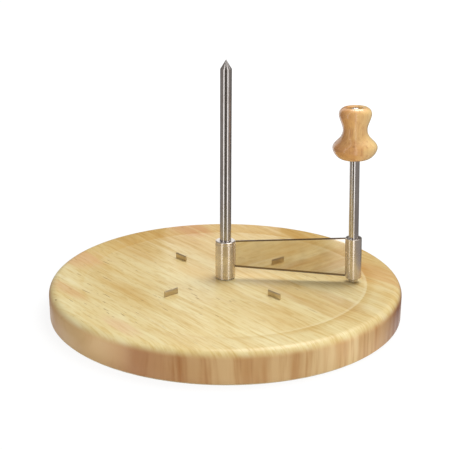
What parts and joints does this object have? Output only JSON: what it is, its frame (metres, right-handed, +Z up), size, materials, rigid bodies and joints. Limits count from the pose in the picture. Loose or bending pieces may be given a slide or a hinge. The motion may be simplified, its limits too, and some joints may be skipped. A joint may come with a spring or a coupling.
{
  "type": "cheese curler",
  "caption": "Round wooden board with a pointed steel spindle and a hand-cranked scraping blade under a turned wooden knob, for shaving a wheel of cheese into curls.",
  "frame": {"origin": "centre of the board's underside, on the spindle's axis", "axes": "+Z up the spindle, +X towards the side where the handle is parked, which is five degrees to the -Y side of it; the board is the same all round"},
  "size_m": [0.22, 0.22, 0.1558],
  "materials": {
    "board_wood": "oiled pale hardwood",
    "knob_wood": "lacquered turned hardwood",
    "bright_steel": "polished stainless steel",
    "blade_steel": "mirror-polished stainless steel",
    "fastener_steel": "plain stainless steel"
  },
  "bodies": {
    "base": {"board_stave_1": "board_wood", "board_stave_2": "board_wood", "board_stave_3": "board_wood", "board_stave_4": "board_wood", "board_stave_5": "board_wood", "tooth_back_right": "blade_steel", "tooth_back_left": "blade_steel", "tooth_front_left": "blade_steel", "tooth_front_right": "blade_steel", "spindle": "bright_steel", "spindle_screw": "fastener_steel", "spindle_washer": "fastener_steel"},
    "washer": {"thrust_washer": "fastener_steel"},
    "scraper": {"sleeve": "bright_steel", "upper_bush": "bright_steel", "lower_bush": "bright_steel", "blade": "blade_steel", "handle_socket": "bright_steel", "handle_rod": "bright_steel", "knob_washer": "fastener_steel", "knob_screw": "fastener_steel"},
    "knob": {"knob": "knob_wood"}
  },
  "joints": [
    {"name": "scraper_turn", "type": "hinge", "parent": "base", "child": "washer", "pos_m": [0, 0, 0.01865], "axis": [0, 0, 1], "continuous": true},
    {"name": "scraper_lift", "type": "slide", "parent": "washer", "child": "scraper", "axis": [0, 0, 1], "range_m": [0, 0.145]},
    {"name": "knob_spin", "type": "hinge", "parent": "scraper", "child": "knob", "pos_m": [0.0797, -0.00697, 0.01865], "axis": [-0.0304, 0.0027, 0.9995], "continuous": true}
  ]
}
